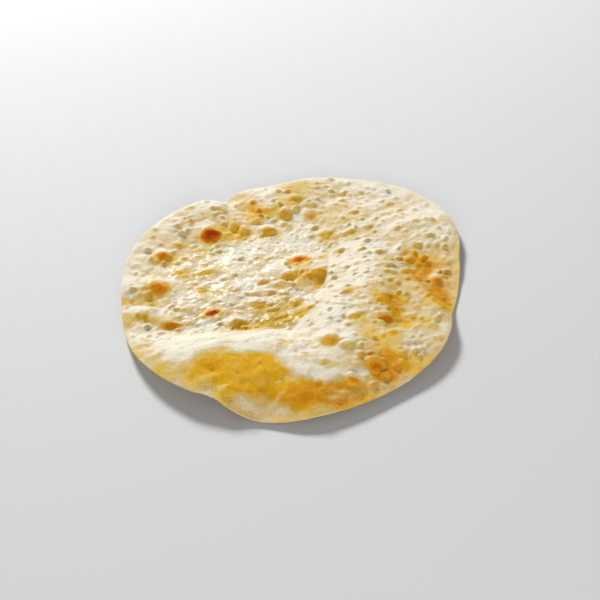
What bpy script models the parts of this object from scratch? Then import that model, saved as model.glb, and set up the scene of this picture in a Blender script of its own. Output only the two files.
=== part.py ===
"""Chapati: a round of wheat dough, rolled thin, puffed on a griddle and laid down again.

It is one sheet of bread, about 20 cm across and 2 mm thick. The steam has gone out of it, so its middle lies
flat, while the front has stayed up in a long roll, the right side in a mound that steps down to the middle,
and the rim in curls and pleats. The largest blisters stand on its upper side.

Metres, +Z up. The origin is under the middle of the bread, on the surface that it rests on. The front, with
the long roll, faces -Y. Places on the bread are written in millimetres and turned to metres as they are used.
"""

import math
from typing import NamedTuple

import bpy
import numpy as np

MM = 0.001

# The sheet of dough, in millimetres.
MEAN_RADIUS = 98.5
BODY_THICKNESS = 2.2
EDGE_THICKNESS = 1.4
EDGE_BAND = 12.0  # how far in from the edge the sheet thins

# The outline's departure from a circle: (lobes round the bread, height of a lobe, angle of one lobe).
OUTLINE_WAVES = ((1, 2.5, 87), (2, 2.2, 40), (3, 3.8, 40), (4, 2.1, 47), (6, 1.5, 26))
# Nicks in the outline, where a pleat has drawn the edge in: (angle, half width in degrees, depth).
OUTLINE_NICKS = ((-20, 8, 2.5), (114, 4, 3.0), (93, 4, 1.5), (-120, 5, 2.0), (9, 3, 1.0))

# The mesh of the sheet: spokes round it, and rings from the middle to the edge on its two sides.
SPOKES = 112
UPPER_RINGS = 29
UNDER_RINGS = 15

CREST_SAMPLES = 72
CREST_REACH = 7.0  # how much of a crest, in millimetres, a place beside it takes its height from
FOLD_BLEND = 4.0  # the higher, the more each fold keeps its own height where two meet
BEND_RADIUS = 3.0  # baked dough is too stiff to turn within less than this


class Fold(NamedTuple):
    """A crest along which the sheet stands up.

    Each node of the crest is (x, y, height of the underside, width on the left, width on the right), with
    left and right as seen along it. The slope on each side is a pair: how round the crest is (1 sharp,
    2 round), and how soft the foot is (1 meets the flat sheet in a crease, 2 runs out softly).
    """

    crest: tuple
    left_slope: tuple = (2, 2)
    right_slope: tuple = (2, 2)


class Crease(NamedTuple):
    """A line along which the sheet stays pinned down: plan points, and the share of height lost at each."""

    path: tuple
    left: float
    right: float


FOLDS = {
    "front_roll": Fold(
        crest=((-97, -32, 2, 11, 40), (-80, -46, 7, 23, 50), (-68, -52, 10, 27, 55), (-52, -53, 14.5, 25, 60),
               (-42, -54, 16, 26, 60), (-30, -58, 15, 30, 50), (-20, -58, 15.5, 30, 42),
               (-10, -66, 13, 37, 36), (4, -76, 10.5, 44, 30), (22, -79, 8, 34, 26), (44, -74, 4, 26, 24)),
        left_slope=(1.6, 1.05), right_slope=(1.4, 1.5),
    ),
    "right_mound": Fold(
        crest=((38, 48, 0, 30, 14), (43, 34, 3.5, 30, 19), (46, 16, 7.5, 26, 25), (46, -6, 9.5, 24, 31),
               (40, -26, 9.5, 28, 36), (28, -44, 10, 34, 34), (14, -60, 11.5, 40, 25), (2, -72, 11, 40, 18)),
        right_slope=(2, 0.7),
    ),
    "south_east_shoulder": Fold(
        crest=((22, -58, 9.5, 24, 34), (42, -52, 9.5, 26, 36), (58, -52, 8, 26, 38), (78, -54, 5, 26, 40)),
        right_slope=(1.6, 1.2),
    ),
    "east_lobe": Fold(
        crest=((56, 12, 3, 12, 22), (61, -2, 6.5, 12, 24), (67, -16, 8, 10, 26), (74, -27, 7.5, 9, 28),
               (82, -42, 6, 8, 30)),
        left_slope=(2, 1),
    ),
    "east_shoulder": Fold(
        crest=((46, 44, 2, 40, 34), (64, 38, 5.5, 40, 38), (84, 34, 5.5, 40, 42), (102, 22, 3, 40, 44)),
        right_slope=(1.5, 1.2),
    ),
    "north_east_rim": Fold(
        crest=((97, 40, 2, 26, 20), (86, 68, 2.5, 26, 20), (62, 88, 2.5, 24, 20), (34, 98, 1.5, 24, 20)),
    ),
    "north_swell": Fold(
        crest=((-36, 90, 2.5, 20, 18), (-22, 84, 4, 20, 24), (-10, 81, 4, 22, 24), (4, 84, 4, 22, 22),
               (20, 94, 2, 20, 20)),
        right_slope=(1.5, 1.3),
    ),
    "north_west_curl": Fold(
        crest=((-25, 64, 0.5, 14, 7), (-32, 72, 4, 26, 8), (-41, 77, 5.5, 36, 9), (-51, 81, 5.5, 38, 16),
               (-66, 74, 4.5, 34, 20), (-82, 57, 3, 26, 20), (-95, 34, 2.5, 18, 16)),
        left_slope=(1.6, 1.5),
    ),
    "west_pleat": Fold(
        crest=((-99, 14, 3.5, 15, 14), (-88, 12, 3.5, 14, 14), (-79, 11, 2, 12, 13), (-68, 10, 0, 10, 10)),
        right_slope=(1.6, 1),
    ),
    "west_low_pleat": Fold(
        crest=((-99, -7, 2.8, 6, 9), (-90, -8, 2.6, 6, 9), (-81, -10, 1.8, 6, 8), (-70, -13, 0, 6, 7)),
        left_slope=(2, 1),
    ),
    "middle_puff": Fold(
        crest=((-5, 16, 0.5, 10, 7), (2, 15, 3, 15, 10), (12, 14, 3.8, 16, 11), (22, 16, 3, 14, 12)),
        right_slope=(1.5, 1),
    ),
}

CREASES = {
    "north_west_notch": Crease(path=((-42, 98, 0.9), (-34, 83, 0.9), (-24, 70, 0.7), (-18, 58, 0.3)),
                               left=6, right=12),
    "east_valley": Crease(path=((96, -28, 1), (85, -18, 0.9), (77, -4, 0.8), (69, 12, 0.3)), left=4, right=24),
    "west_crease": Crease(path=((-101, 3, 0.8), (-88, 0, 0.8), (-74, -4, 0.5)), left=6, right=5),
    "front_left_crease": Crease(path=((-99, -22, 0.8), (-86, -23, 0.7), (-68, -26, 0.3)), left=6, right=4),
}

# The largest blisters: (x, y, radius along x, radius along y, height above the sheet).
BLISTERS = (
    (-47, 55, 9, 9, 2.2),
    (-73, 39, 8, 7, 1.5),
    (-78, 14, 8, 8, 1.5),
    (-70, -18, 10, 7, 1.4),
    (-33, -22, 8, 8, 1.6),
    (-12, 54, 8, 7, 1.5),
    (15, -48, 9, 8, 1.6),
    (49, -34, 8, 8, 1.4),
    (40, -68, 9, 9, 1.4),
    (79, -5, 9, 9, 1.6),
)

CRUMB_COLOUR = (0.80, 0.62, 0.36, 1.0)
CRUMB_ROUGHNESS = 0.55


def smooth_path(nodes):
    """Points along a smooth curve through the nodes, each with whatever else a node holds."""
    nodes = np.array(nodes, float)
    ends = np.vstack([2 * nodes[0] - nodes[1], nodes, 2 * nodes[-1] - nodes[-2]])
    along = np.linspace(0, len(nodes) - 1, CREST_SAMPLES)
    step = np.minimum(along.astype(int), len(nodes) - 2)
    t = (along - step)[:, None]
    before, start, end, after = (ends[step + k] for k in range(4))
    return 0.5 * (
        2 * start
        + (end - before) * t
        + (2 * before - 5 * start + 4 * end - after) * t**2
        + (3 * start - before - 3 * end + after) * t**3
    )


def beside_path(path, x, y):
    """For each place: its distance from the path, which side it is on, and the path's values beside it.

    The side is 1 on the left and 0 on the right, and goes from one to the other round the path's ends.
    """
    offset_x = x[:, None] - path[:, 0]
    offset_y = y[:, None] - path[:, 1]
    distance = np.hypot(offset_x, offset_y)
    nearest = distance.argmin(axis=1)
    here = np.arange(len(x))
    closest = distance[here, nearest]
    heading = np.gradient(path[:, :2], axis=0)[nearest]
    across = heading[:, 0] * offset_y[here, nearest] - heading[:, 1] * offset_x[here, nearest]
    leftward = 0.5 + 0.5 * across / (np.hypot(*heading.T) * np.maximum(closest, 0.1))
    share = np.exp(-0.5 * (distance**2 - closest[:, None] ** 2) / CREST_REACH**2)
    values = share @ path[:, 2:] / share.sum(axis=1)[:, None]
    return closest, np.clip(leftward, 0, 1), values


def fold_height(fold, x, y):
    """Height of one fold, from its crest down to nothing at its width."""
    distance, leftward, values = beside_path(smooth_path(fold.crest), x, y)
    crest_height, left, right = values.T
    reach = np.clip(distance / (left * leftward + right * (1 - leftward)), 0, 1)
    roundness = fold.left_slope[0] * leftward + fold.right_slope[0] * (1 - leftward)
    softness = fold.left_slope[1] * leftward + fold.right_slope[1] * (1 - leftward)
    return np.maximum(crest_height, 0) * (1 - reach**roundness) ** softness


def crease_share(crease, x, y):
    """Share of the sheet's height that is left beside one crease."""
    distance, leftward, values = beside_path(smooth_path(crease.path), x, y)
    reach = np.clip(distance / (crease.left * leftward + crease.right * (1 - leftward)), 0, 1)
    return 1 - np.clip(values[:, 0], 0, 1) * np.cos(0.5 * math.pi * reach) ** 2


def underside_height(x, y):
    """Height of the sheet's underside over the surface that it rests on: nothing where no fold reaches."""
    total = sum(fold_height(fold, x, y) ** FOLD_BLEND for fold in FOLDS.values())
    height = total ** (1 / FOLD_BLEND)
    for crease in CREASES.values():
        height = height * crease_share(crease, x, y)
    return height


def blister_height(x, y):
    """Height of the large blisters over the sheet's upper side."""
    height = np.zeros_like(x)
    for centre_x, centre_y, radius_x, radius_y, rise in BLISTERS:
        reach = np.hypot((x - centre_x) / radius_x, (y - centre_y) / radius_y)
        height = np.maximum(height, rise * np.cos(0.5 * math.pi * np.clip(reach, 0, 1)) ** 2)
    return height


def outline_radius(angle):
    """Distance of the edge from the middle at each angle, in degrees."""
    radius = np.full_like(angle, MEAN_RADIUS)
    for lobes, height, peak in OUTLINE_WAVES:
        radius += height * np.cos(np.radians(lobes * (angle - peak)))
    for middle, half_width, depth in OUTLINE_NICKS:
        away = (angle - middle + 180) % 360 - 180
        radius -= depth * np.exp(-((away / half_width) ** 2))
    return radius


def settled_sheet(x, y):
    """Height and slope of the underside, averaged round each place, since baked dough can't turn sharply."""
    height = 0.5 * underside_height(x, y)
    slope_x = slope_y = 0
    turns = np.linspace(0, 2 * math.pi, 8, endpoint=False)
    for east, north in zip(np.cos(turns), np.sin(turns)):
        beside = underside_height(x + BEND_RADIUS * east, y + BEND_RADIUS * north) / len(turns)
        height = height + 0.5 * beside
        slope_x = slope_x + 2 * beside * east / BEND_RADIUS
        slope_y = slope_y + 2 * beside * north / BEND_RADIUS
    return height, np.hypot(slope_x, slope_y)


def rolled_ball():
    """A ball of dough: its first rings become the bread's upper side, and the rest its underside."""
    bpy.ops.mesh.primitive_uv_sphere_add(segments=SPOKES, ring_count=UPPER_RINGS + UNDER_RINGS, radius=1)
    return bpy.context.object


def shape_sheet(bread):
    """Rolls the ball out to the bread's outline, and lays its two sides on the folds."""
    mesh = bread.data
    ball = np.empty(len(mesh.vertices) * 3)
    mesh.vertices.foreach_get("co", ball)
    ball = ball.reshape(-1, 3)

    ring = np.rint(np.arccos(np.clip(ball[:, 2], -1, 1)) / math.pi * (UPPER_RINGS + UNDER_RINGS))
    upper = ring < UPPER_RINGS
    under = ring > UPPER_RINGS
    # The last ring on each side stands just inside the edge, which rounds it.
    out = np.where(upper, ring / (UPPER_RINGS - 1), (UPPER_RINGS + UNDER_RINGS - ring) / (UNDER_RINGS - 1))
    angle = np.arctan2(ball[:, 1], ball[:, 0])
    edge = outline_radius(np.degrees(angle))
    radius = np.where(upper | under, out * (edge - 0.5 * EDGE_THICKNESS), edge)
    x, y = radius * np.cos(angle), radius * np.sin(angle)

    inward = np.clip((edge - radius) / EDGE_BAND, 0, 1)
    thickness = EDGE_THICKNESS + (BODY_THICKNESS - EDGE_THICKNESS) * np.sin(0.5 * math.pi * inward)
    z, slope = settled_sheet(x, y)
    thickness *= np.sqrt(1 + slope**2)
    z += np.where(upper, thickness + blister_height(x, y), np.where(under, 0, 0.5 * thickness))

    x -= 0.5 * (x.max() + x.min())
    y -= 0.5 * (y.max() + y.min())
    mesh.vertices.foreach_set("co", (np.column_stack([x, y, z]) * MM).ravel())
    mesh.update()


def crumb_material():
    material = bpy.data.materials.new("baked_dough")
    material.use_nodes = True
    shader = material.node_tree.nodes["Principled BSDF"]
    shader.inputs["Base Color"].default_value = CRUMB_COLOUR
    shader.inputs["Roughness"].default_value = CRUMB_ROUGHNESS
    shader.inputs["Metallic"].default_value = 0.0
    return material


def make_chapati(collection):
    bread = rolled_ball()
    bread.name = "chapati"
    shape_sheet(bread)
    bread.data.materials.append(crumb_material())
    bread.data.shade_smooth()
    for holder in bread.users_collection:
        holder.objects.unlink(bread)
    collection.objects.link(bread)
    return bread


def main():
    for leftover in list(bpy.data.objects):
        bpy.data.objects.remove(leftover)
    collection = bpy.data.collections.new("chapati")
    bpy.context.scene.collection.children.link(collection)
    make_chapati(collection)


main()
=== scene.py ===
import math

import bpy
import bmesh
import numpy as np
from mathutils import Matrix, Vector
from mathutils.bvhtree import BVHTree


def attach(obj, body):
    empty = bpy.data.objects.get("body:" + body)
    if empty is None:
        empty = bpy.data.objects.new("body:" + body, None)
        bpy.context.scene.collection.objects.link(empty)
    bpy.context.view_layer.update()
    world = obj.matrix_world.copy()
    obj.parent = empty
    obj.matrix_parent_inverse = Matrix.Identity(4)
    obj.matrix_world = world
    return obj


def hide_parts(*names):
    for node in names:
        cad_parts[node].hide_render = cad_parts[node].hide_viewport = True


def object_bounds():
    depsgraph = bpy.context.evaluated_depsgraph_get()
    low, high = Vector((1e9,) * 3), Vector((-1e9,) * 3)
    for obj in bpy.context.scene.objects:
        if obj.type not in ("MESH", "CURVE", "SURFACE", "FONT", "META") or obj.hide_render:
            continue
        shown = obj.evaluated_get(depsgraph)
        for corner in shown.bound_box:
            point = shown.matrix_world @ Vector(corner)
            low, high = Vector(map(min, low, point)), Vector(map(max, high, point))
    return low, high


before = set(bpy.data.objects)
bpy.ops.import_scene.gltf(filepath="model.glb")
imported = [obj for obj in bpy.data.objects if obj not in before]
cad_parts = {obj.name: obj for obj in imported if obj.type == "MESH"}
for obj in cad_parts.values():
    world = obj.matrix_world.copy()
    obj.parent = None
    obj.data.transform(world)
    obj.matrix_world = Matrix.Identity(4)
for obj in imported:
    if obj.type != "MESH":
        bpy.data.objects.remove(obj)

MM = 0.001
solid_box = [list(corner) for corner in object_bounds()]

# ---- The room ------------------------------------------------------------------------------------
# A pale floor, a soft window high behind the bread, which shines along its oiled middle, and a broad, weak
# light low in front. The camera looks half down at the front of the bread, a little tilted.

FLOOR_SIZE = 6.0
FLOOR_GAP = 0.0002  # the floor lies this far under the bread
FLOOR_COLOUR = (0.71, 0.73, 0.77, 1.0)
CAMERA_HEIGHT_ANGLE = math.radians(43.6)
CAMERA_TILT = math.radians(5.2)
CAMERA_DISTANCE = 0.75
CAMERA_LENS = 80.55
CAMERA_AIM = Vector((0.0029, -0.0056, 0.0))
WINDOW_PLACE = (-0.40, 1.37, 0.95)
WINDOW_SIZE = (0.42, 0.33)
WINDOW_POWER = 33.0
WINDOW_COLOUR = (1.0, 0.985, 0.955)
FRONT_LIGHT_PLACE = (0.1, -1.15, 0.27)
FRONT_LIGHT_SIZE = (1.2, 0.5)
FRONT_LIGHT_POWER = 8.8
FRONT_LIGHT_COLOUR = (1.0, 0.97, 0.905)
ROOM_COLOUR = (1.0, 0.965, 0.91, 1.0)
ROOM_STRENGTH = 0.23


def turned_to(target, place):
    """The rotation that points a camera or a light at place towards target."""
    return (Vector(target) - Vector(place)).to_track_quat("-Z", "Y").to_euler()


bpy.ops.object.select_all(action="DESELECT")
bpy.ops.mesh.primitive_plane_add(size=FLOOR_SIZE, location=(0, 0, -FLOOR_GAP))
floor = bpy.context.object
floor.name = "floor"
floor_paint = bpy.data.materials.new("pale_floor")
floor_paint.use_nodes = True
floor_shader = floor_paint.node_tree.nodes["Principled BSDF"]
floor_shader.inputs["Base Color"].default_value = FLOOR_COLOUR
floor_shader.inputs["Roughness"].default_value = 0.85
floor.data.materials.append(floor_paint)

camera_data = bpy.data.cameras.new("camera")
camera_data.lens = CAMERA_LENS
camera_data.sensor_width = 36
camera = bpy.data.objects.new("camera", camera_data)
bpy.context.scene.collection.objects.link(camera)
away = Vector((0, -math.cos(CAMERA_HEIGHT_ANGLE), math.sin(CAMERA_HEIGHT_ANGLE)))
camera.location = CAMERA_AIM + CAMERA_DISTANCE * away
camera.rotation_euler = turned_to(CAMERA_AIM, camera.location)
camera.rotation_euler.rotate_axis("Z", -CAMERA_TILT)
bpy.context.scene.camera = camera


def add_panel(name, place, size, power, colour):
    """A soft rectangular light that faces the bread."""
    light = bpy.data.lights.new(name, "AREA")
    light.shape = "RECTANGLE"
    light.size, light.size_y = size
    light.energy = power
    light.color = colour
    panel = bpy.data.objects.new(name, light)
    panel.location = place
    panel.rotation_euler = turned_to((0, 0, 0), place)
    bpy.context.scene.collection.objects.link(panel)


add_panel("window", WINDOW_PLACE, WINDOW_SIZE, WINDOW_POWER, WINDOW_COLOUR)
add_panel("front_light", FRONT_LIGHT_PLACE, FRONT_LIGHT_SIZE, FRONT_LIGHT_POWER, FRONT_LIGHT_COLOUR)

room = bpy.data.worlds.new("room")
room.use_nodes = True
room.node_tree.nodes["Background"].inputs["Color"].default_value = ROOM_COLOUR
room.node_tree.nodes["Background"].inputs["Strength"].default_value = ROOM_STRENGTH
bpy.context.scene.world = room
bpy.context.scene.view_settings.view_transform = "Standard"

# ---- The bread's sheet ---------------------------------------------------------------------------
# A ball of wheat dough rolled out to a sheet 2 mm thick and baked dry on a griddle. Steam has lifted it
# into folds and blisters, and the middle has fallen flat again. It is made as the real one is: a ball,
# rolled out to the solid's outline, laid on the solid's folds, then raised into blisters and creased.

SPOKES = 540
UPPER_RINGS = 128
UNDER_RINGS = 40
SPLITS = 2  # how often the ball that it starts from is split finer
RIM_RINGS = 4  # the last rings on each side go round the edge
RIM_ROUND = 0.9  # millimetres from the edge to where the rounding starts
SMOOTH_RIM = 4.0  # millimetres from the edge to where the relief has its full height
# The edge is a little ragged: (depth in mm, size of a rag in mm, seed).
EDGE_RAGS = ((0.25, 5.0, 3), (0.2, 1.7, 4))

# Folds that are pressed sharp: (depth in mm, half width in mm, points along the fold). A depth under 0 is
# a raised lip.
FOLD_LINES = (
    (0.35, 2.0, ((-96, -22), (-84, -23.5), (-70, -27), (-52, -28))),
    (0.5, 1.6, ((-36, -30), (-22, -27.5), (-10, -28.5), (-2, -31))),
    (0.9, 1.8, ((23, 32), (21, 16), (15, -1), (9, -13), (-1, -30), (-6, -44), (-8, -56))),
    (0.7, 1.5, ((66, 14), (69, -2), (74, -13), (80, -22), (87, -30))),
    (0.7, 1.6, ((-41, 88), (-34, 80), (-27, 71), (-21, 62))),
    (0.6, 1.3, ((-98, 2), (-89, -1), (-80, -3), (-71, -5))),
    (0.4, 1.2, ((-98, 33), (-91, 28), (-82, 25))),
    (0.4, 1.2, ((-99, -12), (-88, -14), (-78, -15))),
    (0.5, 1.3, ((100, 19), (93, 20), (86, 18))),
    (0.4, 1.4, ((-88, -45), (-83, -36), (-80, -30))),
    (0.3, 1.2, ((-74, -57), (-70, -48), (-64, -42))),
    (0.4, 1.6, ((-52, -82), (-47, -72), (-44, -62))),
    (0.4, 1.4, ((31, -88), (34, -78), (38, -72))),
    (0.3, 1.3, ((10, 98), (9, 88), (12, 80))),
    (-1.1, 1.9, ((25, 40), (26, 30), (26, 20))),
    (-0.7, 2.2, ((-2, -34), (-4, -46), (-3, -58))),
    (-0.5, 2.4, ((-57, -52), (-49, -50), (-41, -52), (-33, -56), (-25, -55), (-17, -58), (-9, -66))),
)

# Blisters that stand out: (x, y, half length, half width, turn in degrees, rise, browning), in mm. A
# browning of 0.3 is golden, 0.6 orange, 0.8 red-brown and 1 dark.
BLISTERS = (
    # The flat middle, its left half.
    (-46, 55, 6.5, 7.0, 0, 1.3, 0.92), (-74, 40, 6.0, 4.0, -30, 1.1, 0.62),
    (-65, 48, 4.0, 2.6, -25, 0.8, 0.30), (-63, 26, 5.5, 4.0, 0, 0.9, 0.36),
    (-50, 24, 6.0, 2.6, 12, 0.9, 0.36), (-76, 12, 6.5, 6.0, 0, 1.1, 0.64),
    (-52, 10, 4.0, 3.4, 0, 1.0, 0.34), (-46, -10, 5.0, 3.4, 0, 1.0, 1.00),
    (-61, -6, 5.0, 2.2, 20, 0.7, 0.28), (-70, -17, 7.5, 3.4, -12, 1.0, 0.60),
    (-57, -17, 3.2, 2.0, 10, 0.6, 0.14), (-45, -24, 3.6, 2.2, 0, 0.7, 0.18),
    (-53, 38, 3.6, 1.8, 5, 0.5, 0.14), (-49, 31, 4.2, 1.4, 12, 0.5, 0.10),
    (-58, 35, 2.6, 1.8, 0, 0.5, 0.16), (-56, 15, 3.0, 1.6, 0, 0.5, 0.10),
    (-56, -26, 4.0, 2.4, 0, 0.5, 0.16),
    # The flat middle, its right half.
    (-32, -20, 6.0, 4.4, 8, 1.5, 0.48), (-21, -5, 5.4, 4.2, -10, 1.5, 0.36),
    (-31, -8, 3.4, 2.2, 0, 0.7, 0.24), (-32, 6, 3.2, 1.8, 10, 0.6, 0.16),
    (-17, 12, 4.2, 3.0, 15, 1.2, 0.32), (-8, 8, 5.2, 3.4, 0, 1.2, 0.30),
    (-2, 7, 3.4, 3.0, 0, 1.0, 0.26), (-22, 2, 4.0, 2.4, 0, 0.9, 0.24), (-13, 2, 3.8, 2.6, 0, 1.0, 0.24),
    (-6, 0, 3.8, 2.6, 0, 1.0, 0.24), (0, -7, 3.8, 3.2, 10, 1.2, 0.34),
    (6, -16, 6.0, 3.6, 30, 1.3, 0.44), (-12, -12, 3.4, 2.2, 0, 0.8, 0.22),
    (-9, -19, 3.0, 2.0, 0, 0.7, 0.20), (-21, 34, 2.8, 2.4, 0, 0.7, 0.22),
    (-13, 29, 3.8, 2.0, 18, 0.7, 0.24), (-29, 32, 3.2, 1.8, 5, 0.6, 0.14),
    (-33, 44, 3.2, 2.4, 0, 0.7, 0.18), (5, 26, 6.6, 4.6, 10, 0.9, 0.80),
    (-2, 28, 2.6, 2.0, 0, 0.6, 0.40), (-3, 12, 4.6, 3.0, -20, 0.8, 0.40),
    (15, 12, 5.0, 3.0, 10, 0.8, 0.22),
    # The far side.
    (-12, 55, 5.2, 4.8, 0, 1.5, 0.44), (-1, 68, 4.4, 4.6, 0, 1.5, 0.40),
    (-3, 59, 3.0, 2.4, 0, 0.8, 0.22), (6, 79, 3.8, 4.4, 35, 1.2, 0.44),
    (13, 66, 4.4, 4.4, 15, 1.3, 0.40), (-20, 78, 2.4, 2.4, 0, 0.6, 0.56),
    (-32, 60, 3.6, 3.4, 0, 0.9, 0.34), (-26, 56, 4.0, 3.4, 0, 1.0, 0.34),
    (-19, 63, 4.4, 3.0, 0, 0.9, 0.34), (21, 47, 5.4, 4.4, 0, 1.4, 0.34),
    (35, 45, 5.2, 2.8, 22, 1.1, 0.32), (46, 47, 3.6, 2.2, 20, 0.9, 0.26),
    (29, 29, 4.0, 2.4, 30, 1.1, 0.30), (40, 26, 3.6, 2.2, 30, 1.1, 0.32),
    (51, 21, 3.8, 2.4, 25, 1.0, 0.32), (33, 76, 3.2, 2.2, 20, 0.8, 0.24),
    (39, 63, 2.8, 2.4, 0, 0.8, 0.22), (45, 81, 3.2, 2.4, 0, 0.7, 0.20),
    (61, 67, 3.4, 2.0, 0, 0.7, 0.28), (63, 41, 3.4, 2.4, 0, 0.9, 0.24),
    (74, 45, 3.2, 2.0, 10, 0.7, 0.32), (83, 46, 3.0, 2.2, -20, 0.7, 0.26),
    (80, 33, 3.2, 2.2, -15, 0.8, 0.28), (73, 26, 2.6, 1.8, 0, 0.7, 0.26),
    (57, 57, 3.0, 1.8, 10, 0.5, 0.12), (45, 58, 3.6, 1.6, 15, 0.5, 0.12),
    (-58, 77, 3.4, 2.6, -30, 0.5, 0.24), (-66, 62, 3.0, 2.2, 0, 0.5, 0.16),
    (-40, 74, 4.0, 2.6, 0, 0.6, 0.24), (-52, 66, 2.6, 2.0, 0, 0.4, 0.14),
    # The mound on the right and the lobe beyond it.
    (18, -18, 2.6, 2.0, 0, 0.6, 0.16), (29, -11, 3.4, 2.8, 0, 0.6, 0.40),
    (25, -22, 2.8, 2.0, 0, 0.5, 0.14), (17, -50, 5.8, 5.0, 30, 1.3, 0.46),
    (25, -56, 4.6, 2.8, 0, 0.9, 0.26), (32, -32, 4.8, 3.4, 20, 0.9, 0.34),
    (48, -35, 4.8, 3.8, -15, 0.8, 0.72), (50, -47, 3.0, 2.4, 0, 0.8, 0.46),
    (2, -60, 2.6, 1.8, 0, 0.5, 0.20), (12, -67, 3.2, 2.4, 0, 0.6, 0.18),
    (39, -68, 5.0, 5.0, 0, 1.2, 0.68), (26, -77, 4.0, 3.2, 0, 0.8, 0.56),
    (45, -74, 2.4, 2.0, 0, 0.6, 0.50), (63, 4, 2.8, 3.0, 0, 0.9, 0.54),
    (67, 16, 3.6, 2.6, -20, 0.8, 0.52), (79, -2, 4.0, 5.0, 0, 1.1, 0.62),
    (72, -41, 3.8, 2.0, 0, 0.7, 0.22), (74, -51, 4.0, 2.6, 0, 0.7, 0.26),
    (61, -20, 3.0, 2.2, 0, 0.6, 0.34), (66, -27, 2.6, 1.8, 0, 0.6, 0.22),
    (62, -33, 3.2, 2.2, 0, 0.6, 0.30), (54, 8, 4.8, 2.0, 0, 0.7, 0.24), (55, 2, 4.8, 2.0, 0, 0.7, 0.24),
    (56, -5, 4.0, 1.8, 0, 0.6, 0.22),
    # The front and the left rim.
    (-9, -87, 4.6, 6.0, 10, 0.7, 0.08), (-28, -84, 8.0, 5.6, -15, 0.6, 0.05),
    (-40, -78, 3.4, 3.0, 0, 0.7, 0.20), (-50, -72, 6.5, 5.0, 20, 0.7, 0.03),
    (-74, -47, 4.6, 2.8, 20, 0.7, 0.24), (-93, -28, 3.6, 2.4, 0, 0.6, 0.22),
    (-81, -36, 4.2, 2.4, -15, 0.6, 0.22), (-21, -73, 4.6, 4.8, 0, 0.8, 0.30),
    (-84, -7, 6.0, 2.2, -18, 0.6, 0.26),
)

# The listed place is where the front of a blister shows from the camera. Its middle lies to the front of
# that by this many times its rise, and then to the back by this share of its half width.
BLISTER_TO_FRONT = 2.6
BLISTER_TO_BACK = 0.45
BLISTER_STRETCH = 1.1  # of the listed half width
BLISTER_SWELL = 1.2  # of the listed rise
BLISTER_SOFTNESS = 1.1  # 1 is a full dome, and more is a soft swelling

SMALL_BLISTERS = 760
SMALL_BLISTER_GAP = 3.4
SMALL_BLISTER_SIZES = (1.3, 3.1)
SMALL_BLISTER_WIDTH = 0.72  # share of its length
SMALL_BLISTER_RISE = 0.5  # share of its half length, at most
SMALL_BLISTER_SOFTNESS = 1.6

# The skin over the roll is stretched, and the small blisters in it are low. It lies to the front of this y
# and to the left of this x, and leaves them this share of their rise.
ROLL_SKIN_START = -34
ROLL_SKIN_END = 30
ROLL_SKIN_RISE = 0.35

# Wrinkles: (height in mm, size of a lump in mm, share along x, share along y, seed). A share under 1 draws
# the lumps out that way.
WRINKLES = (
    (0.35, 9, 0.7, 1.0, 31),
    (0.34, 4.2, 0.7, 1.0, 32),
    (0.22, 2.2, 0.9, 1.0, 33),
    (0.3, 13, 1.0, 0.8, 35),
)
FRONT_LUMPS = (0.5, 11, 1.0, 0.8, 34)
FRONT_LUMPS_START = -58  # they begin at this y
RESTING_HEIGHT = 2.2  # millimetres, the upper side of the sheet where it lies flat
RAISED_RELIEF = 1.4  # relief outside the flat middle, against that inside it
FRONT_RELIEF = 0.3  # what is added to it on slopes that face the front


def smooth_core():
    """The solid with its facets smoothed away, and the angle and radius of each corner of its outline."""
    core = bpy.data.objects.new("core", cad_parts["chapati"].data.copy())
    bpy.context.scene.collection.objects.link(core)
    bpy.ops.object.select_all(action="DESELECT")
    core.select_set(True)
    bpy.context.view_layer.objects.active = core
    bpy.ops.object.mode_set(mode="EDIT")
    bpy.ops.mesh.select_all(action="SELECT")
    bpy.ops.mesh.remove_doubles(threshold=1e-6)
    bpy.ops.mesh.tris_convert_to_quads(face_threshold=math.radians(30), shape_threshold=math.radians(60))
    bpy.ops.object.mode_set(mode="OBJECT")
    shape = bmesh.new()
    shape.from_mesh(core.data)
    turns = [
        edge for edge in shape.edges
        if len(edge.link_faces) == 2 and edge.link_faces[0].normal.z * edge.link_faces[1].normal.z < 0
    ]
    corners = {vertex for edge in turns for vertex in edge.verts}
    outline = np.array(sorted((math.atan2(v.co.y, v.co.x), math.hypot(v.co.x, v.co.y)) for v in corners))
    shape.free()
    rounding = core.modifiers.new("rounding", "SUBSURF")
    rounding.levels = 2
    rounding.render_levels = 2
    bpy.ops.object.modifier_apply(modifier=rounding.name)
    return core, outline


def lattice_noise(x, y, size, seed):
    """Smooth random lumps of about that size, between -1 and 1."""
    lattice = np.random.default_rng(seed).uniform(-1, 1, (128, 128))
    across, along = (x * 0.8 + y * 0.6) / size + 31.7, (y * 0.8 - x * 0.6) / size + 57.3
    i, j = np.floor(across).astype(int), np.floor(along).astype(int)
    s, t = across - i, along - j
    s, t = s * s * (3 - 2 * s), t * t * (3 - 2 * t)
    near = lattice[i % 128, j % 128] * (1 - s) + lattice[(i + 1) % 128, j % 128] * s
    far = lattice[i % 128, (j + 1) % 128] * (1 - s) + lattice[(i + 1) % 128, (j + 1) % 128] * s
    return near * (1 - t) + far * t


def ease(value, low, high):
    """0 up to low, 1 from high on, and smooth between."""
    share = np.clip((value - low) / (high - low), 0, 1)
    return share * share * (3 - 2 * share)


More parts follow.
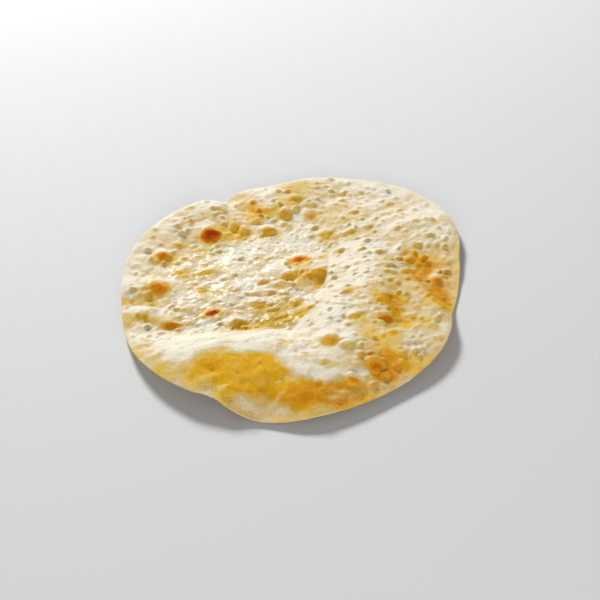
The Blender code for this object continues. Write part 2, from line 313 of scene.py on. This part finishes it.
def line_distance(x, y, points):
    """Distance from a line through points, and the share of the line passed."""
    points = np.array(points, float)
    steps = np.diff(points, axis=0)
    lengths = np.hypot(*steps.T)
    passed = np.concatenate([[0], np.cumsum(lengths)])
    best = np.full(x.shape, 1e9)
    share = np.zeros(x.shape)
    for start, step, length, before in zip(points, steps, lengths, passed):
        along = np.clip(((x - start[0]) * step[0] + (y - start[1]) * step[1]) / length**2, 0, 1)
        away = np.hypot(x - start[0] - along * step[0], y - start[1] - along * step[1])
        share = np.where(away < best, (before + along * length) / passed[-1], share)
        best = np.minimum(best, away)
    return best, share


def scattered(count, gap, sizes, seed, reach):
    """Seeded places inside a circle, no two nearer than gap: rows of x, y, size, turn and strength."""
    draw = np.random.default_rng(seed)
    kept = np.empty((0, 5))
    for _ in range(count * 6):
        x, y = draw.uniform(-reach, reach, 2)
        size, turn, strength = draw.uniform(*sizes), draw.uniform(-40, 50), draw.uniform(0.3, 1)
        is_free = not len(kept) or np.hypot(*(kept[:, :2] - (x, y)).T).min() > gap
        if math.hypot(x, y) < reach and is_free:
            kept = np.vstack([kept, (x, y, size, turn, strength)])
        if len(kept) == count:
            break
    return kept


def spread(x, y, centre_x, centre_y, half_length, half_width, turn):
    """How far out each place is on an ellipse: 0 at its middle, 1 at its edge, and 9 well beyond it."""
    reach = np.full(x.shape, 9.0)
    limit = 1.6 * half_length + half_width
    near = (abs(x - centre_x) < limit) & (abs(y - centre_y) < limit)
    east, north = x[near] - centre_x, y[near] - centre_y
    cosine, sine = math.cos(math.radians(turn)), math.sin(math.radians(turn))
    long_way, short_way = east * cosine + north * sine, north * cosine - east * sine
    reach[near] = np.hypot(long_way / half_length, short_way / half_width)
    return reach


core, outline = smooth_core()
core_tree = BVHTree.FromObject(core, bpy.context.evaluated_depsgraph_get())

bpy.ops.object.select_all(action="DESELECT")
all_rings = UPPER_RINGS + UNDER_RINGS
bpy.ops.mesh.primitive_uv_sphere_add(
    segments=SPOKES // 2**SPLITS, ring_count=all_rings // 2**SPLITS, radius=1
)
bread = bpy.context.object
bread.name = "chapati_bread"
finer = bread.modifiers.new("finer", "SUBSURF")
finer.subdivision_type = "SIMPLE"
finer.levels = SPLITS
finer.render_levels = SPLITS
bpy.ops.object.modifier_apply(modifier=finer.name)
ball = np.empty(len(bread.data.vertices) * 3)
bread.data.vertices.foreach_get("co", ball)
ball = ball.reshape(-1, 3)

# Each vertex's ring, counted from the middle of the upper side, and how far it is in from the edge, in mm.
steepness = ball[:, 2] / np.linalg.norm(ball, axis=1)
ring = np.arccos(np.clip(steepness, -1, 1)) / math.pi * all_rings
is_upper = ring <= UPPER_RINGS + 0.01
angle = np.arctan2(ball[:, 1], ball[:, 0])
edge = np.interp(angle, outline[:, 0], outline[:, 1] / MM, period=2 * math.pi)
edge_x, edge_y = edge * np.cos(angle), edge * np.sin(angle)
for depth, size, seed in EDGE_RAGS:
    edge -= depth * (0.5 + 0.5 * lattice_noise(edge_x, edge_y, size, seed))
side_rings = np.where(is_upper, UPPER_RINGS, UNDER_RINGS)
from_middle = np.where(is_upper, ring, all_rings - ring)
flat_rings = side_rings - RIM_RINGS
on_rim = np.clip((from_middle - flat_rings) / RIM_RINGS, 0, 1)
radius = np.where(
    from_middle <= flat_rings,
    (edge - RIM_ROUND) * from_middle / flat_rings,
    edge - RIM_ROUND * (1 - np.sin(0.5 * math.pi * on_rim)),
)
x, y = radius * np.cos(angle), radius * np.sin(angle)
inward = edge - radius


def core_height(x, y, from_above):
    """Height of the solid's upper side or underside, in mm."""
    start, heading = (0.1, -1) if from_above else (-0.1, 1)
    heights = np.empty(len(x))
    for index, (east, north) in enumerate(zip(x * MM, y * MM)):
        hit = core_tree.ray_cast(Vector((east, north, start)), Vector((0, 0, heading)))[0]
        heights[index] = math.nan if hit is None else hit.z / MM
    return heights


# The rim is read a little inside the edge, where the solid still has its full thickness.
inside = np.minimum(radius, edge - 1.0) / np.maximum(radius, 1e-6)
top = core_height(x * inside, y * inside, True)
bottom = core_height(x * inside, y * inside, False)
missing = np.isnan(top) | np.isnan(bottom)
top[missing] = np.interp(np.flatnonzero(missing), np.flatnonzero(~missing), top[~missing])
bottom[missing] = np.interp(np.flatnonzero(missing), np.flatnonzero(~missing), bottom[~missing])


def set_heights(z):
    """Moves the bread's vertices to these heights and gives the direction that each one faces."""
    bread.data.vertices.foreach_set("co", (np.column_stack([x, y, z]) * MM).ravel())
    bread.data.update()
    facing = np.empty(len(z) * 3)
    bread.data.vertex_normals.foreach_get("vector", facing)
    return facing.reshape(-1, 3)


middle, half = 0.5 * (top + bottom), 0.5 * (top - bottom)
round_off = np.cos(0.5 * math.pi * on_rim)
plain = middle + np.where(is_upper, half, -half) * round_off
plain_facing = set_heights(plain)

# Blisters of the upper side: how much each place is raised and browned, and how golden round a blister.
# Brown and gold lie more on a blister's front side, away from the window: partly browning, partly painted
# shade. Their edges wander.
rise = np.zeros(len(x))
browned = np.zeros(len(x))
ring_and_lee_shade = np.zeros(len(x))
wander_x = x + 0.8 * lattice_noise(x, y, 3.4, 21) + 0.4 * lattice_noise(x, y, 1.7, 23)
wander_y = y + 0.8 * lattice_noise(x, y, 3.4, 22) + 0.4 * lattice_noise(x, y, 1.7, 24)
for east, north, length, width, turn, height, browning in BLISTERS:
    middle_north = north - BLISTER_TO_FRONT * height + BLISTER_TO_BACK * width
    reach = spread(wander_x, wander_y, east, middle_north, length, BLISTER_STRETCH * width, turn)
    dome = np.clip(1 - reach**2, 0, 1) ** BLISTER_SOFTNESS
    rise = np.maximum(rise, BLISTER_SWELL * height * dome)
    # The brown lies on the front side, away from the window, as browning and as painted shade; the more it
    # is browned, the further the brown reaches over the top.
    brown_from = -0.15 - 0.9 * max(0.0, browning - 0.4)
    lee_side = ease((middle_north - wander_y) / width, brown_from, 0.55)
    spot = np.clip(1 - (reach / 1.15) ** 2, 0, 1) ** 0.6
    browned = np.maximum(browned, 1.1 * browning * lee_side * spot)
    # The golden ring is stronger on the front side, away from the window: painted shade.
    ring_and_lee_strength = min(1.0, 2.2 * browning) * (0.3 + 0.7 * lee_side)
    ring_and_lee_shade = np.maximum(ring_and_lee_shade, ring_and_lee_strength * ease(1.6 - reach, 0, 0.9))
for east, north, size, turn, strength in scattered(
    SMALL_BLISTERS, SMALL_BLISTER_GAP, SMALL_BLISTER_SIZES, 5, edge.max()
):
    if north < ROLL_SKIN_START - 0.3 * max(0.0, east) and east < ROLL_SKIN_END:
        strength *= ROLL_SKIN_RISE
    reach = spread(wander_x, wander_y, east, north, size, SMALL_BLISTER_WIDTH * size, turn)
    dome = np.clip(1 - reach**2, 0, 1) ** SMALL_BLISTER_SOFTNESS
    rise = np.maximum(rise, SMALL_BLISTER_RISE * size * strength * dome)
    # Small blisters are golden on their front side too: painted shade.
    lee_side = ease((north - wander_y) / size, -0.1, 0.5)
    ring_and_lee_shade = np.maximum(ring_and_lee_shade, 0.35 * strength * lee_side * ease(1.25 - reach, 0, 0.8))


def wrinkles(height, size, share_x, share_y, seed):
    """Random lumps of that height and size, drawn out along x or y."""
    return height * lattice_noise(share_x * x, share_y * y, size, seed)


for wrinkle in WRINKLES:
    rise += wrinkles(*wrinkle)
rise += wrinkles(*FRONT_LUMPS) * ease(FRONT_LUMPS_START - y, 0, 8)

# The flat middle is where the sheet lies low, away from the rim, the far side and the right side.
flat_middle = ease(1.5 - (plain - RESTING_HEIGHT), 0, 1.2) * ease(inward, 14, 34)
flat_middle *= ease(56 - y, 0, 14) * ease(26 - x, 0, 8)
rise *= RAISED_RELIEF + (1 - RAISED_RELIEF) * flat_middle
rise *= 1 + FRONT_RELIEF * ease(-plain_facing[:, 1], 0.0, 0.3)

# The sharp folds, which sway a little and are shallower at their ends.
sway_x = x + 0.5 * lattice_noise(x, y, 6, 41)
sway_y = y + 0.5 * lattice_noise(x, y, 6, 42)
for depth, half_width, points in FOLD_LINES:
    away, passed = line_distance(sway_x, sway_y, points)
    ends = ease(passed, 0, 0.15) * ease(1 - passed, 0, 0.15)
    rise -= depth * (0.35 + 0.65 * ends) * np.exp(-((away / half_width) ** 2))
rise *= ease(inward, 0, SMOOTH_RIM)

# The underside keeps the griddle's print: shallow dimples, and flat where it rests.
under_rise = 0.25 + 0.15 * lattice_noise(x, y, 6, 51) + 0.1 * lattice_noise(x, y, 2.5, 52)
under_rise *= ease(plain, 0.0, 1.5) * ease(inward, 0, SMOOTH_RIM)

# The highest fold is as high as the solid, so what is raised fades out towards its crest.
height_limit = solid_box[1][2] / MM - 0.05
relief = np.where(is_upper, rise, under_rise)
relief = np.where(relief > 0, relief * ease(height_limit - plain, -0.5, 2.5), relief)
facing = set_heights(np.clip(plain + relief, 0, height_limit))
bread.data.shade_smooth()
bpy.data.objects.remove(core)

# ---- The bread's crust ---------------------------------------------------------------------------
# Wheat flour and water, baked: cream where it is dry and floury, golden where the skin of a fold or a
# blister has lifted, brown where it touched the griddle, and darker and wet where oil has soaked in.
# Slopes and blister sides that face away from the window are painted more golden as shade, and those that
# face it paler as painted highlight.

BASE_GOLD = 0.22
GOLD_AND_SHADE_PATCHES = (
    # (x, y, half length, half width, turn, share), in mm and degrees. Under 0 is paler, not more golden.
    # The gold is partly the crust's own and partly painted shade on slopes that face away from the window;
    # the paler patches are partly paler crust and partly painted highlight on slopes that face it.
    # The right side.
    (80, -1, 18, 19, 0, 0.40), (57, -20, 15, 16, 0, 0.22), (71, 24, 14, 6, 0, -0.30),
    (79, -4, 6, 8, 10, -0.30), (53, 16, 6, 8, 0, 0.22), (64, -1, 7, 8, 0, 0.36),
    (98, 14, 6, 18, 0, 0.26), (78, -22, 9, 9, -40, 0.50), (35, -41, 10, 7, 0, 0.40),
    (44, -49, 15, 6, -3, 0.52), (60, -42, 15, 8, 3, 0.48), (84, -34, 9, 12, 20, 0.28),
    (62, -27, 6, 5, -20, -0.32), (61, -59, 9, 4, -28, -0.38), (52, -54, 7, 5, 0, 0.16),
    (36, -3, 7, 6, 0, -0.22), (52, -13, 5, 5, 0, -0.20), (46, -68, 13, 12, 0, 0.40),
    (64, -69, 13, 7, 20, 0.55), (26, -62, 14, 6, 5, -0.25), (24, -31, 7, 6, 0, -0.28),
    (12, -38, 9, 5, 0, -0.25), (30, -13, 8, 5, 0, 0.30), (26, -23, 10, 6, 0, -0.20),
    (-7, -52, 5, 5, -20, 0.40), (24, -49, 5, 4, 0, -0.22), (86, 35, 9, 7, 0, -0.20),
    (91, 22, 5, 5, 0, 0.15), (93, 5, 5, 6, 0, 0.10),
    # The far side.
    (5, 67, 10, 6, 0, -0.16), (26, 77, 14, 6, -10, -0.14), (-20, 68, 8, 8, 0, 0.32),
    (-32, 50, 9, 6, 20, 0.40), (5, 90, 12, 7, 0, 0.45), (-12, 76, 8, 6, 0, -0.20),
    (14, 75, 7, 6, 0, -0.20), (6, 62, 7, 7, 0, -0.35), (4, 42, 11, 6, 0, -0.40),
    (22, 40, 7, 5, 0, 0.25), (44, 38, 14, 5, 3, 0.30), (22, 25, 9, 6, 5, 0.40),
    (-10, 49, 7, 5, 0, 0.22), (36, 60, 20, 12, 0, 0.22), (-32, 86, 14, 5, -20, 0.35),
    (30, 85, 12, 5, 0, -0.20), (61, 76, 13, 6, -30, -0.28), (12, 32, 8, 5, 0, -0.45),
    (-2, 18, 4, 4, 0, -0.20), (68, 56, 14, 9, 0, 0.12),
    # The near left and the left rim.
    (-48, 43, 14, 6, 5, 0.28), (-48, 68, 22, 9, 35, -0.20), (-86, 44, 7, 7, 30, -0.12),
    (-64, 37, 7, 5, 0, 0.28), (-66, 58, 11, 10, 0, -0.26), (-95, 9, 7, 5, -10, -0.20),
    (-96, -12, 6, 22, 0, 0.20), (-62, 20, 7, 6, 0, 0.22), (-49, 20, 7, 4, 0, 0.22),
    (-46, 4, 9, 5, 0, 0.38), (-76, 13, 9, 5, 0, 0.25), (-70, -14, 8, 5, 0, 0.28),
    (-66, -24, 10, 4, 0, 0.12), (-84, -40, 13, 9, 30, 0.36), (-70, -62, 11, 8, 15, 0.48),
    (-45, -12, 12, 4, 0, 0.34), (-37, -22, 6, 4, 0, 0.25), (-48, -22, 5, 4, 0, -0.28),
    (-81, -17, 7, 6, 0, -0.22), (-29, 36, 14, 9, 0, -0.40), (-79, 30, 7, 5, 0, -0.22),
    (-64, -16, 5, 4, 0, -0.06), (-24, 22, 12, 5, 0, -0.10), (-38, 29, 4, 4, 0, 0.22),
    (-55, -3, 6, 3, 0, -0.18), (-66, 3, 5, 4, 0, -0.22),
    # The flat middle.
    (-7, -18, 20, 13, 0, 0.46), (9, 12, 11, 6, 0, 0.32), (4, 20, 9, 5, 0, 0.52),
    (15, 2, 5, 8, -20, 0.45), (-25, -27, 13, 5, 0, 0.48), (-4, -22, 14, 5, 0, 0.36),
    (2, -3, 6, 4, 0, -0.18), (-24, 10, 7, 5, 0, -0.20),
    # The front.
    (-61, -58, 9, 7, -20, -0.28), (-40, -52, 14, 5, 0, 0.30), (-13, -62, 8, 5, -30, 0.35),
    (-10, -40, 9, 8, 0, -0.30), (-78, -56, 8, 5, -35, 0.22), (-50, -75, 7, 5, 20, -0.26),
    (-36, -81, 18, 7, -25, 0.10), (-24, -86, 12, 5, -10, -0.22), (-10, -88, 7, 6, 0, -0.36),
    (0, -93, 52, 9, 3, 0.42), (-40, -84, 8, 5, -35, 0.45), (21, -87, 9, 5, 5, -0.22),
    (-1, -57, 5, 5, 0, -0.25), (2, -77, 15, 5, -5, -0.75),
)
GOLD_AND_SHADE_LINES = (
    # (share, half width in mm, points along a fold). Gold along the roll's front and in creases is partly
    # toasted crust and partly painted shade; paler lines along crests that face the window are painted
    # highlight.
    (0.58, 12, ((-52, -68), (-40, -68), (-28, -70))), (0.58, 11, ((-30, -70), (-12, -76), (0, -82))),
    (0.40, 8, ((-2, -84), (16, -86), (34, -83), (44, -79))),
    (-0.20, 8, ((-80, -34), (-66, -39), (-50, -42), (-28, -44), (-12, -40), (0, -36))),
    (-0.35, 3.5, ((-70, -51), (-57, -50), (-46, -51))),
    (-0.30, 3.5, ((-31, -55), (-23, -55), (-15, -59))),
    (-0.50, 5.0, ((-9, -64), (-2, -72), (9, -76), (20, -76), (31, -75))),
    (-0.25, 3.5, ((24, 26), (21, 14), (16, -1), (12, -9), (6, -22), (1, -31), (-4, -40))),
    (-0.20, 3.0, ((-97, 17), (-88, 18), (-79, 16))), (0.36, 3.0, ((-97, 3), (-88, 1), (-76, -3))),
    (-0.30, 2.5, ((-94, -5), (-86, -7), (-77, -10))), (0.20, 2.4, ((-94, -9), (-86, -12), (-77, -14))),
    (0.34, 8.0, ((67, 18), (71, 7), (74, -8), (80, -20), (86, -28))),
    (0.36, 3.4, ((44, -17), (49, -25), (54, -32), (58, -40))),
)
TOASTED_PLACES = (
    # Where the gold turns to orange, in the same way.
    (14, -86, 20, 9, 0, 0.7), (44, -80, 14, 8, 15, 0.8), (42, -67, 16, 9, 0, 0.6),
    (77, -4, 16, 21, 0, 0.8), (52, -28, 10, 12, 0, 0.4), (-46, -62, 9, 6, 0, 0.35),
    (-82, 10, 12, 8, 0, 0.6), (-22, 66, 12, 14, 0, 0.5), (3, 84, 8, 8, 0, 0.3), (62, 20, 10, 7, 0, 0.6),
    (-16, -88, 30, 8, 0, 0.5), (10, 12, 13, 8, 0, 0.4), (17, -51, 8, 7, 0, 0.5),
)
OLIVE_PLACES = (
    # Where the gold is duller and a little green, in the same way.
    (-6, -20, 20, 11, 0, 0.9), (-40, 44, 18, 8, 0, 0.8), (-52, -10, 10, 5, 0, 0.8),
    (-60, -64, 12, 12, 0, 0.2), (58, -30, 14, 26, 10, 0.35), (30, 48, 34, 22, 10, 0.35),
    (66, 2, 12, 12, 0, 0.4), (8, 90, 12, 7, 0, 0.6),
)
# Painted shade: skin that faces away from the window is made more golden.
LIGHT_FROM = np.array((-0.24, 0.97))  # towards the window; skin that faces away from it is more golden
UNDER_SPOTS = 90
UNDER_SPOT_GAP = 10.0
UNDER_SPOT_SIZES = (3.0, 8.0)
UNDER_GOLD = 0.35


def store(name, values):
    """Keeps one number for each vertex, for the crust's material to read."""
    layer = bread.data.attributes.new(name, "FLOAT", "POINT")
    layer.data.foreach_set("value", values.astype(np.float32))


def patches(places):
    """The sum of soft elliptical patches."""
    total = np.zeros(len(x))
    for east, north, length, width, turn, share in places:
        reach = spread(wander_x, wander_y, east, north, length, width, turn)
        total += share * ease(1.3 - reach, 0, 0.9)
    return total


lean = plain_facing[:, :2] @ LIGHT_FROM
fine_lean = (facing - plain_facing)[:, :2] @ LIGHT_FROM
breakup = lattice_noise(0.5 * x, y, 6, 61)
breakup += 0.7 * lattice_noise(0.6 * x, y, 2.8, 62)
breakup += 0.5 * lattice_noise(x, y, 1.6, 63)

gold = BASE_GOLD + patches(GOLD_AND_SHADE_PATCHES)
# Painted shade on slopes that face away from the window, and paler painted highlight on those that face
# it.
gold += 0.35 * ease(-lean, 0.03, 0.2) * ease(inward, 4, 14)
gold -= 0.22 * ease(lean, 0.0, 0.15)
for share, half_width, points in GOLD_AND_SHADE_LINES:
    away = line_distance(wander_x, wander_y, points)[0]
    gold += share * ease(1.35 - away / half_width, 0, 0.9)
gold += 0.15 * breakup
# Painted shade on the front, lee sides of blisters and wrinkles and paler painted highlight on their
# windward sides; and the golden ring round a blister, itself partly painted shade.
gold += 0.32 * ring_and_lee_shade + np.clip(-0.62 * fine_lean, -0.25, 0.40) * ease(inward, 2, 8)
toasted = patches(TOASTED_PLACES) + 0.2 * breakup
wet = flat_middle * (0.9 + 0.25 * breakup) + 0.25 * ease(inward, 20, 45)

under_browned = np.zeros(len(x))
for east, north, size, turn, strength in scattered(
    UNDER_SPOTS, UNDER_SPOT_GAP, UNDER_SPOT_SIZES, 9, edge.max() - 6
):
    reach = spread(wander_x, wander_y, east, north, size, 0.8 * size, turn)
    under_browned = np.maximum(under_browned, 0.85 * strength * ease(1.2 - reach, 0, 0.9))

# The browned and gold numbers carry painted shade as well as the crust's own colour.
store("browned", np.where(is_upper, browned, under_browned))
store("gold", np.where(is_upper, np.clip(gold, 0, 1), UNDER_GOLD + 0.15 * breakup))
store("toasted", np.where(is_upper, np.clip(toasted, 0, 1), 0.3))
store("olive", np.where(is_upper, np.clip(patches(OLIVE_PLACES), 0, 1), 0.0))
store("wet", np.where(is_upper, np.clip(wet, 0, 1), 0.05))


class Number:
    """A number that varies over a surface. Sums and products of it add Math nodes to its material."""

    def __init__(self, surface, socket):
        self.surface = surface
        self.socket = socket

    def math(self, operation, first, second):
        return self.surface.node("ShaderNodeMath", {"operation": operation}, {0: first, 1: second})

    def __add__(self, other):
        return self.math("ADD", self, other)

    def __radd__(self, other):
        return self.math("ADD", other, self)

    def __sub__(self, other):
        return self.math("SUBTRACT", self, other)

    def __rsub__(self, other):
        return self.math("SUBTRACT", other, self)

    def __mul__(self, other):
        return self.math("MULTIPLY", self, other)

    def __rmul__(self, other):
        return self.math("MULTIPLY", other, self)


class Surface:
    """A material that is built up node by node."""

    def __init__(self, name):
        self.material = bpy.data.materials.new(name)
        self.material.use_nodes = True
        self.tree = self.material.node_tree
        self.shader = self.tree.nodes["Principled BSDF"]
        self.place = self.node("ShaderNodeTexCoord", {}, {}, "Object")

    def node(self, kind, settings, sockets, output=0):
        """Adds a node: its settings first, then a value or a link for each of its sockets."""
        node = self.tree.nodes.new(kind)
        for name, value in settings.items():
            if name == "stops":
                ramp = node.color_ramp
                while len(ramp.elements) < len(value):
                    ramp.elements.new(0.5)
                for element, (position, colour) in zip(ramp.elements, value):
                    element.position = position
                    element.color = (*colour, 1.0)
            else:
                setattr(node, name, value)
        for name, value in sockets.items():
            self.feed(node.inputs[name], value)
        return Number(self, node.outputs[output])

    def feed(self, socket, value):
        """Gives a socket a link or a value."""
        if isinstance(value, Number):
            self.tree.links.new(value.socket, socket)
        else:
            socket.default_value = value

    def attribute(self, name):
        """A number that is kept for each vertex."""
        return self.node("ShaderNodeAttribute", {"attribute_name": name}, {}, "Fac")

    def between(self, share, low, high):
        """Goes from 0 to 1 as share goes from low to high."""
        settings = {"interpolation_type": "SMOOTHSTEP"}
        return self.node("ShaderNodeMapRange", settings, {0: share, 1: low, 2: high})

    def mix(self, share, first, second):
        """A colour between two."""
        first, second = (c if isinstance(c, Number) else (*c, 1.0) for c in (first, second))
        return self.node("ShaderNodeMix", {"data_type": "RGBA"}, {0: share, 6: first, 7: second}, 2)

    def tint(self, colour, filter_colour):
        """A colour seen through another."""
        settings = {"data_type": "RGBA", "blend_type": "MULTIPLY"}
        return self.node("ShaderNodeMix", settings, {0: 1.0, 6: colour, 7: (*filter_colour, 1.0)}, 2)

    def noise(self, size, detail, roughness):
        """Noise from 0 to 1, with lumps of about that size in metres."""
        sockets = {"Vector": self.place, "Scale": 1 / size, "Detail": detail, "Roughness": roughness}
        return self.node("ShaderNodeTexNoise", {}, sockets)


GOLD_STOPS = (
    (0.0, (0.97, 0.905, 0.76)),
    (0.25, (0.86, 0.735, 0.50)),
    (0.50, (0.84, 0.635, 0.28)),
    (0.75, (0.90, 0.62, 0.13)),
    (1.0, (0.88, 0.49, 0.012)),
)
TOAST = (0.88, 0.64, 0.65)
OLIVE = (0.84, 0.86, 0.77)
BROWNING_STOPS = (
    (0.0, (0.90, 0.70, 0.34)),
    (0.25, (0.90, 0.56, 0.09)),
    (0.45, (0.87, 0.37, 0.012)),
    (0.62, (0.81, 0.22, 0.003)),
    (0.80, (0.60, 0.085, 0.001)),
    (1.0, (0.34, 0.03, 0.001)),
)
CLOUD_SIZE = 0.022
MOTTLE_SIZE = 0.0045
FLOUR_SIZE = 0.0016
GRAIN_SIZE = 0.0008
BUBBLE_SIZE = 0.0017
RELIEF_DEPTH = 0.0013

crust = Surface("baked_crust")
browning = crust.attribute("browned")
gold_and_shade_here = crust.attribute("gold")
toasted_here = crust.attribute("toasted")
olive_here = crust.attribute("olive")
wet_here = crust.attribute("wet")
clouds = crust.noise(CLOUD_SIZE, 3.0, 0.55)
mottle = crust.noise(MOTTLE_SIZE, 4.0, 0.6)
flour = crust.noise(FLOUR_SIZE, 4.0, 0.65)
grain = crust.noise(GRAIN_SIZE, 3.0, 0.6)

# The gold number, and so the tone, holds painted shade and painted highlight besides the crust's colour.
tone = gold_and_shade_here + 0.25 * (clouds - 0.5) + 0.32 * (mottle - 0.5) + 0.14 * (flour - 0.5)
skin = crust.node("ShaderNodeValToRGB", {"stops": GOLD_STOPS}, {"Fac": tone})
skin = crust.mix(toasted_here * crust.between(tone, 0.35, 0.9), skin, crust.tint(skin, TOAST))
skin = crust.mix(olive_here, skin, crust.tint(skin, OLIVE))
burn_tone = browning + 0.5 * (mottle - 0.5) * crust.between(browning, 0.1, 0.4) + 0.2 * (flour - 0.5)
burn = crust.node("ShaderNodeValToRGB", {"stops": BROWNING_STOPS}, {"Fac": burn_tone})
skin = crust.mix(crust.between(browning + 0.2 * (flour - 0.5), 0.06, 0.45), skin, burn)
crust.feed(crust.shader.inputs["Base Color"], skin)

rough = 0.60 - 0.15 * wet_here + 0.25 * (flour - 0.5)
rough = crust.node("ShaderNodeClamp", {}, {"Value": rough, "Min": 0.2, "Max": 0.8})
crust.feed(crust.shader.inputs["Roughness"], rough)
bubble_place = {"Vector": crust.place, "Scale": 1 / BUBBLE_SIZE}
bubbles = crust.node("ShaderNodeTexVoronoi", {"feature": "SMOOTH_F1"}, bubble_place)
fine_relief = flour * 0.5 + grain * 0.3 - wet_here * bubbles * 0.5
bump = {"Height": fine_relief, "Strength": 1.0, "Distance": RELIEF_DEPTH}
crust.feed(crust.shader.inputs["Normal"], crust.node("ShaderNodeBump", {}, bump))
oil = 0.35 * wet_here * crust.between(flour + 0.3 * clouds, 0.5, 0.8) * (1 - browning)
crust.feed(crust.shader.inputs["Coat Weight"], oil)
crust.shader.inputs["Coat Roughness"].default_value = 0.25
crust.shader.inputs["Specular IOR Level"].default_value = 0.12
crust.shader.inputs["IOR"].default_value = 1.45
crust.shader.inputs["Subsurface Weight"].default_value = 0.12
crust.shader.inputs["Subsurface Radius"].default_value = (1.0, 0.5, 0.18)
crust.shader.inputs["Subsurface Scale"].default_value = 0.0006

bread.data.materials.clear()
bread.data.materials.append(crust.material)
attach(bread, "root")
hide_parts("chapati")
